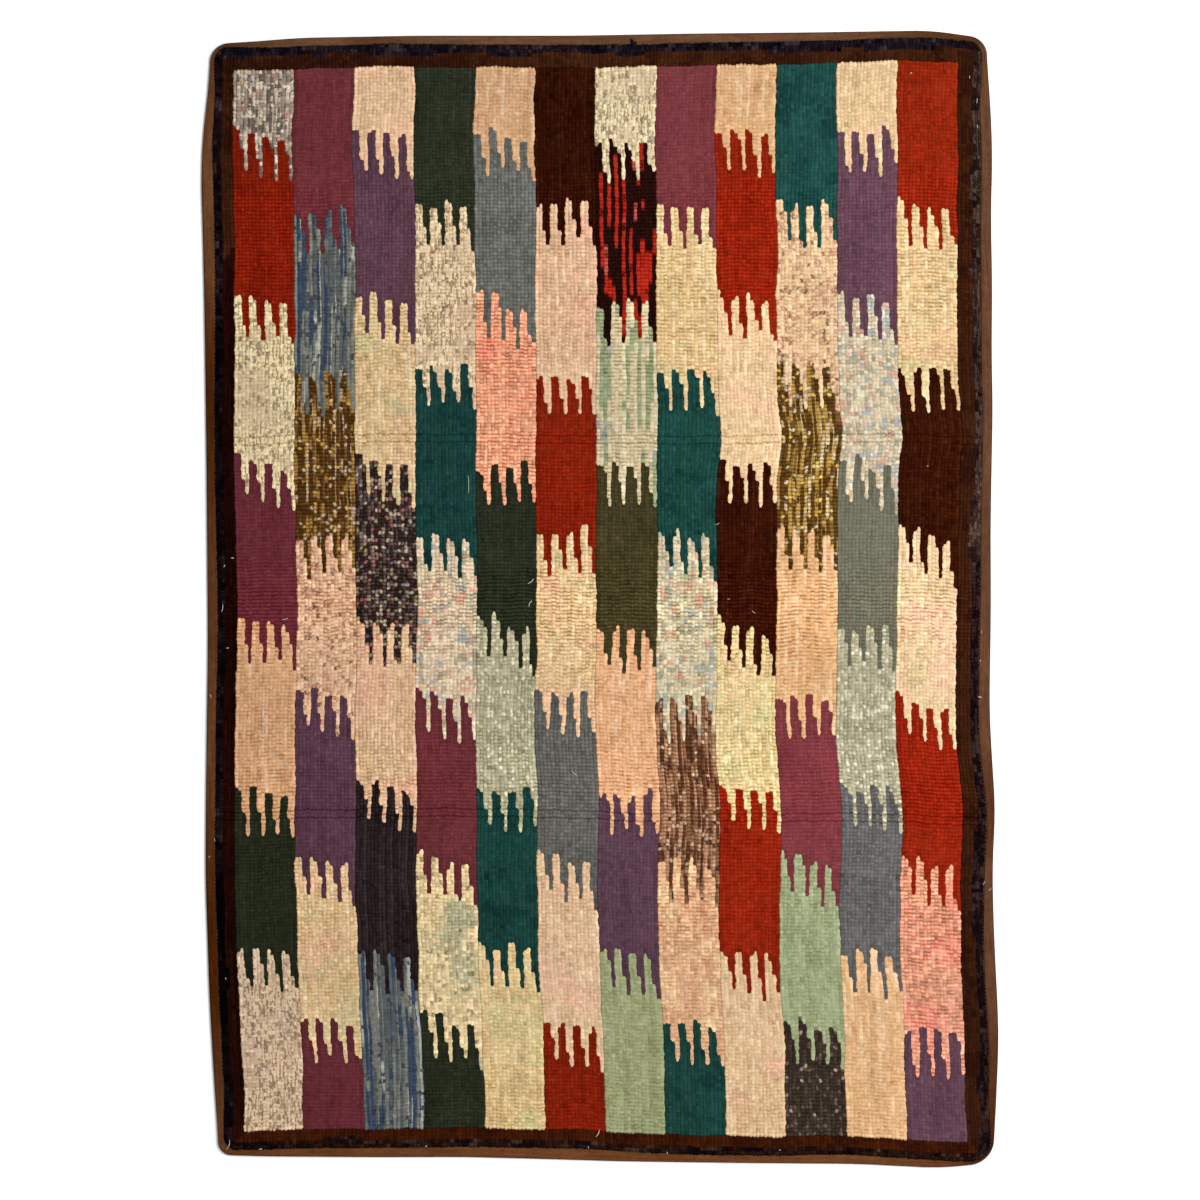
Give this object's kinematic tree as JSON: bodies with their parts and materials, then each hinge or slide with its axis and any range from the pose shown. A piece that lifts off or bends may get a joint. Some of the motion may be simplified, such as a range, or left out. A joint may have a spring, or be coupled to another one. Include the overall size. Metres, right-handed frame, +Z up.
{
  "type": "hooked rug",
  "caption": "Flat oblong hooked rug of looped yarn on a cloth ground, with columns of blocks that interlock in fingers and a folded cloth tape round its edge.",
  "frame": {"origin": "centre of the rug's outline, on the surface that it lies on", "axes": "+Z up out of the loops, +Y along the rug's length towards the end that the fingers point to, +X across its width"},
  "size_m": [0.8612, 1.2298, 0.0075],
  "materials": {
    "wool_pile": "matt wool and rag yarn loops in many colours",
    "binding_tape": "matt brown cotton twill tape"
  },
  "bodies": {
    "root": {"hooked_ground": "wool_pile", "edge_binding": "binding_tape"}
  },
  "joints": []
}
